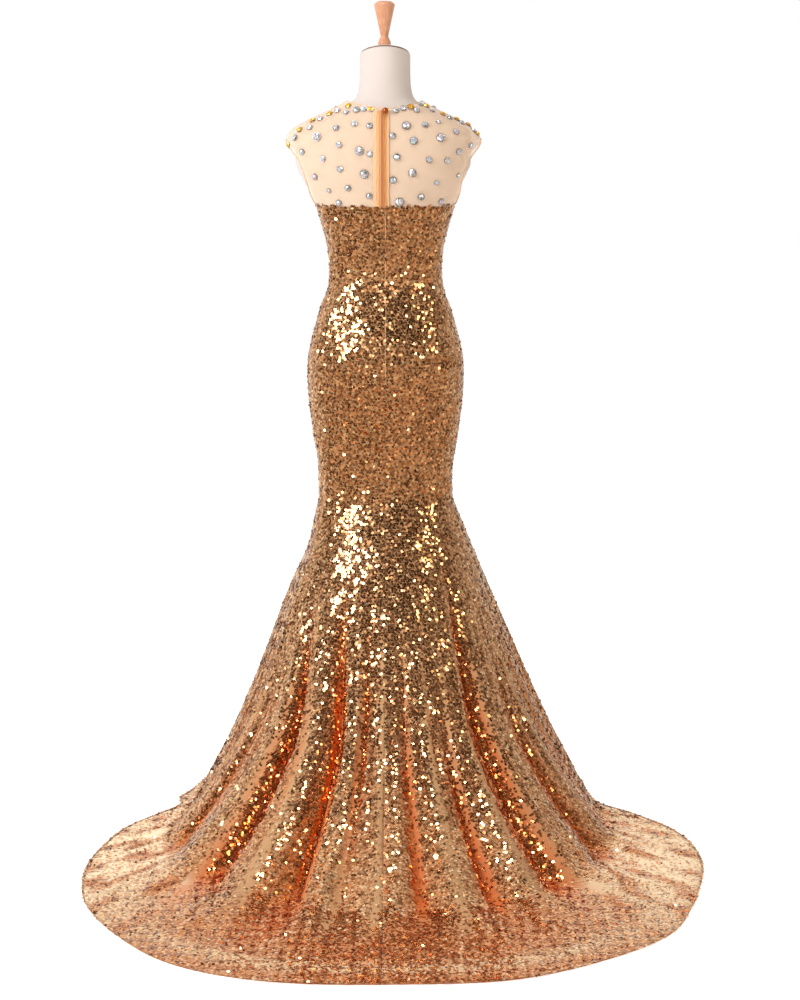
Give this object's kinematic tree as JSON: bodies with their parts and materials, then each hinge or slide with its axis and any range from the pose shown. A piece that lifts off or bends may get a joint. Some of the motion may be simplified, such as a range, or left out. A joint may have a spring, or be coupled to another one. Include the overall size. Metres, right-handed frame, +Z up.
{
  "type": "evening gown on dress form",
  "caption": "Gold sequin mermaid evening gown with a sheer crystal yoke and a train, standing on a limbless dress form with a turned wooden finial.",
  "frame": {"origin": "centre of the stand base's underside, on the floor", "axes": "+Z up, +Y the way the wearer faces, train toward -Y, +X to the wearer's right"},
  "size_m": [1.2067, 1.4439, 1.679],
  "materials": {
    "sequin_cloth": "gold sequins on net",
    "sheer_net": "sheer matt net with crystals",
    "placket_net": "folded net",
    "amber_bead": "cut glass",
    "form_cover": "smooth woven cover",
    "cap_rim": "cloth top with a brown edge",
    "turned_wood": "satin varnish",
    "steel": "brushed",
    "base_paint": "satin paint"
  },
  "bodies": {
    "root": {"back_left_gore": "sequin_cloth", "back_right_gore": "sequin_cloth", "side_back_left_gore": "sequin_cloth", "side_back_right_gore": "sequin_cloth", "side_front_left_gore": "sequin_cloth", "side_front_right_gore": "sequin_cloth", "front_gore": "sequin_cloth", "yoke_back_left": "sheer_net", "yoke_back_right": "sheer_net", "yoke_front": "sheer_net", "placket_left": "placket_net", "placket_right": "placket_net", "neck_bead": "amber_bead", "form_torso": "form_cover", "neck_cap": "cap_rim", "finial": "turned_wood", "stand_pole": "steel", "stand_base": "base_paint"}
  },
  "joints": []
}
